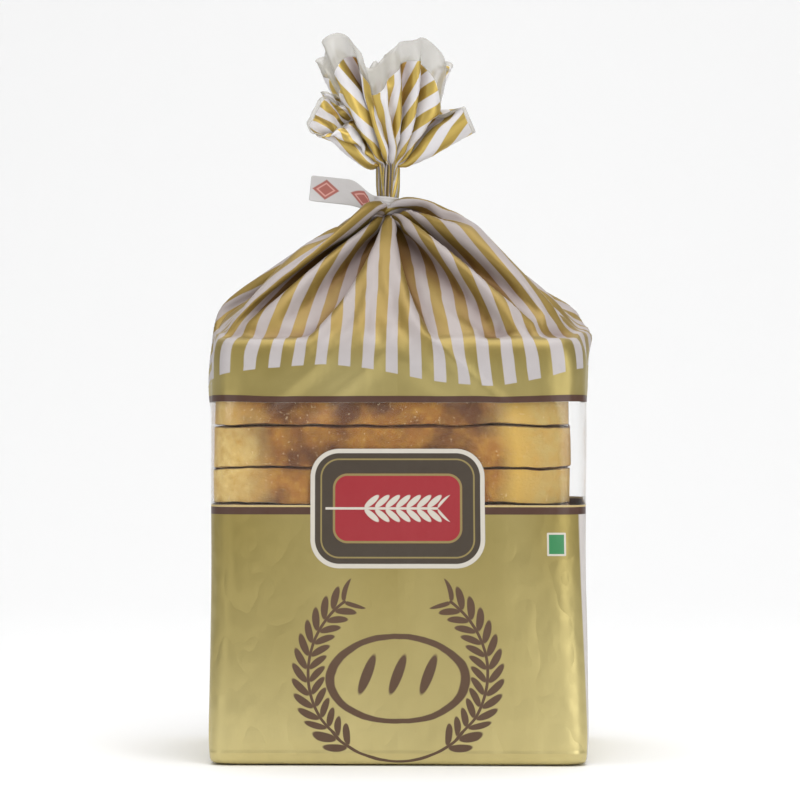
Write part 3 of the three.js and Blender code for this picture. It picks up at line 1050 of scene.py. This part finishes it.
tape.select_set(True)
walled = tape.modifiers.new("tape thickness", "SOLIDIFY")
walled.thickness = TAPE_THICKNESS * MM
walled.offset = 0
rounded = tape.modifiers.new("soft curl", "SUBSURF")
rounded.levels = rounded.render_levels = 1
apply_all(tape)
bpy.ops.object.shade_smooth()

TAPE_WHITE = ink(202, 199, 198)
TAPE_RED = ink(170, 100, 90)
TAPE_PINK = ink(214, 160, 150)
MARK_START = 5.2
MARK_HALF_WIDTH, MARK_HALF_HEIGHT = 4.4, 3.3
UNMARKED_RING = (20, 46, 1)
SMUDGE_SIZE = 3
white_tape = Finish("white_tape_with_red_marks")
uv = white_tape.node("ShaderNodeUVMap", {"uv_map": "strip"}, {})
s, t, _ = white_tape.parts(uv)
mark_s = abs((s - MARK_START + MARK_PITCH / 2) % MARK_PITCH - MARK_PITCH / 2)
lozenge = mark_s / MARK_HALF_WIDTH + abs(t) / MARK_HALF_HEIGHT + s.between(*UNMARKED_RING)
tape_colour = white_tape.mix(lozenge.below(1, 0.06), TAPE_WHITE, TAPE_RED)
tape_colour = white_tape.mix(lozenge.between(0.55, 0.72, 0.04), tape_colour, TAPE_PINK)
smudge = white_tape.noise(uv, SMUDGE_SIZE, 3)
white_tape.set(Base_Color=tape_colour, Roughness=0.38 + smudge * 0.15)
white_tape.set(Normal=white_tape.bump(smudge, 0.25, 0.6))
tape.data.materials.append(white_tape.material)
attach(tape, "root")
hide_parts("tape")


# The studio: a pale floor, a pale surround, soft lights left, right and above, and the camera
# where the photograph was taken from, level with the middle of the pack. Sizes are in metres.
CAMERA_DISTANCE = 1.15
CAMERA_AZIMUTH = math.radians(1.7)
CAMERA_HEIGHT = 0.1136
CAMERA_SIDE = -0.0009
PHOTO_WIDTH_AT_FRONT = 0.248
SENSOR_WIDTH = 36
FLOOR_SIZE = 12
FLOOR_MIDDLE_Y = -4.2
BACKDROP_HEIGHT = 6
BACKDROP_CURVE = 1.0
FLOOR_GREY = 0.93
SURROUND_STRENGTH = 0.32

bpy.ops.mesh.primitive_plane_add(size=FLOOR_SIZE, location=(0, FLOOR_MIDDLE_Y, 0))
floor = bpy.context.object
floor.name = "studio_floor"
bpy.ops.object.transform_apply(location=True, rotation=False, scale=False)
for edge in floor.data.edges:
    edge.select = all(floor.data.vertices[end].co.y > 0 for end in edge.vertices)
bpy.ops.object.mode_set(mode="EDIT")
bpy.ops.mesh.select_mode(type="EDGE")
bpy.ops.mesh.extrude_edges_move(TRANSFORM_OT_translate={"value": (0, 0, BACKDROP_HEIGHT)})
bpy.ops.object.mode_set(mode="OBJECT")
sweep = floor.modifiers.new("rounded backdrop", "BEVEL")
sweep.width = BACKDROP_CURVE
sweep.segments = 24
sweep.limit_method = "ANGLE"
apply_all(floor)
bpy.ops.object.shade_smooth()
floor_finish = Finish("pale_floor")
floor_finish.set(Base_Color=(FLOOR_GREY, FLOOR_GREY, FLOOR_GREY, 1), Roughness=0.8)
floor.data.materials.append(floor_finish.material)

world = bpy.data.worlds.new("pale_surround")
scene.world = world
world.use_nodes = True
surround = world.node_tree.nodes["Background"]
surround.inputs["Color"].default_value = (1, 1, 1, 1)
surround.inputs["Strength"].default_value = SURROUND_STRENGTH

# Each light: its name, its place, what it is turned to, its watts and its size in metres.
LIGHTS = (
    ("left_softbox", (-0.85, -0.75, 0.45), (0, 0, 0.12), 2.0, 0.5),
    ("right_softbox", (0.75, -0.95, 0.35), (0, 0, 0.1), 4.2, 0.6),
    ("table_softbox", (0.1, -0.6, 1.0), (0, -0.4, 0), 5.0, 0.7),
    ("backdrop_wash", (0, 0.4, 2.6), (0, 1.2, 0.12), 40.0, 2.0),
)
for name, spot, target, power, size in LIGHTS:
    bpy.ops.object.light_add(type="AREA", location=spot)
    light = bpy.context.object
    light.name = name
    light.data.energy = power
    light.data.size = size
    aim = np.array(target) - spot
    yaw = math.atan2(aim[1], aim[0]) - math.pi / 2
    pitch = math.atan2(math.hypot(aim[0], aim[1]), -aim[2])
    light.rotation_euler = (pitch, 0, yaw)

back_x, back_y = math.sin(CAMERA_AZIMUTH), -math.cos(CAMERA_AZIMUTH)
reach = CAMERA_DISTANCE + BODY_DEPTH / 2 * MM
bpy.ops.object.camera_add(location=(back_x * reach + CAMERA_SIDE, back_y * reach, CAMERA_HEIGHT))
camera = bpy.context.object
camera.rotation_euler = (math.pi / 2, 0, CAMERA_AZIMUTH)
camera.data.sensor_width = SENSOR_WIDTH
camera.data.lens = SENSOR_WIDTH * CAMERA_DISTANCE / PHOTO_WIDTH_AT_FRONT
camera.data.clip_end = 30
scene.camera = camera
scene.view_settings.view_transform = "Standard"
